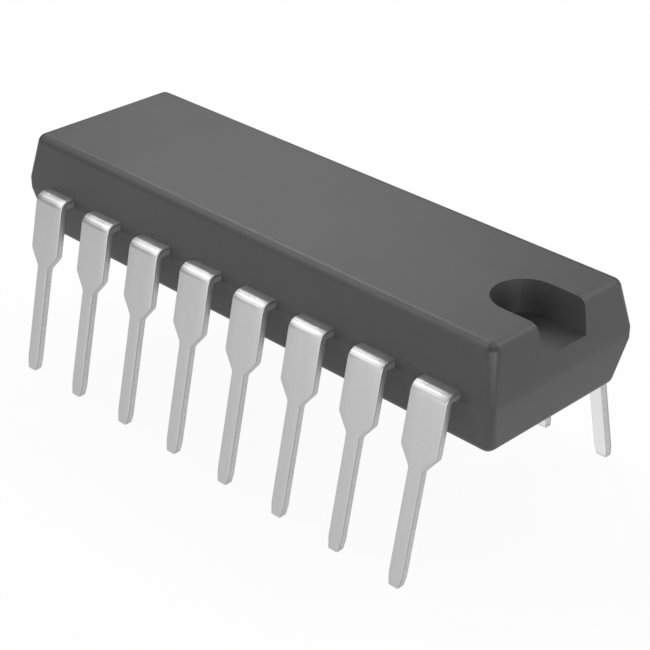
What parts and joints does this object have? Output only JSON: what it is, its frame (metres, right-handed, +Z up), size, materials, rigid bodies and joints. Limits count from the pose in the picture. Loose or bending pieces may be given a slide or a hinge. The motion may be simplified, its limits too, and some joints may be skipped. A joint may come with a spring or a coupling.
{
  "type": "dual in-line integrated circuit package",
  "caption": "Dark moulded plastic chip body with a half round end notch and two splayed rows of formed tin plated leads, its lead frame, die and bond wires inside.",
  "frame": {"origin": "under the middle of the body, in the plane of the lead tips", "axes": "+X along the body towards the notched end, +Y across the body towards the row that starts with lead 1, +Z up out of the top face"},
  "size_m": [0.0216, 0.0102, 0.008],
  "materials": {
    "molding_compound": "fine matte, as moulded",
    "tin_plate": "satin tin plate",
    "copper_alloy": "rolled copper alloy with a spot of silver plate",
    "silver_epoxy": "silver filled epoxy",
    "silicon": "polished silicon with a passivated circuit face",
    "gold_wire": "bright drawn gold wire"
  },
  "bodies": {
    "root": {"molded_body": "molding_compound", "lead_01": "tin_plate", "lead_02": "tin_plate", "lead_03": "tin_plate", "lead_04": "tin_plate", "lead_05": "tin_plate", "lead_06": "tin_plate", "lead_07": "tin_plate", "lead_08": "tin_plate", "lead_09": "tin_plate", "lead_10": "tin_plate", "lead_11": "tin_plate", "lead_12": "tin_plate", "lead_13": "tin_plate", "lead_14": "tin_plate", "lead_15": "tin_plate", "lead_16": "tin_plate", "die_paddle": "copper_alloy", "die_attach": "silver_epoxy", "die": "silicon", "bond_wire_01": "gold_wire", "bond_wire_02": "gold_wire", "bond_wire_03": "gold_wire", "bond_wire_04": "gold_wire", "bond_wire_05": "gold_wire", "bond_wire_06": "gold_wire", "bond_wire_07": "gold_wire", "bond_wire_08": "gold_wire", "bond_wire_09": "gold_wire", "bond_wire_10": "gold_wire", "bond_wire_11": "gold_wire", "bond_wire_12": "gold_wire", "bond_wire_13": "gold_wire", "bond_wire_14": "gold_wire", "bond_wire_15": "gold_wire", "bond_wire_16": "gold_wire"}
  },
  "joints": []
}
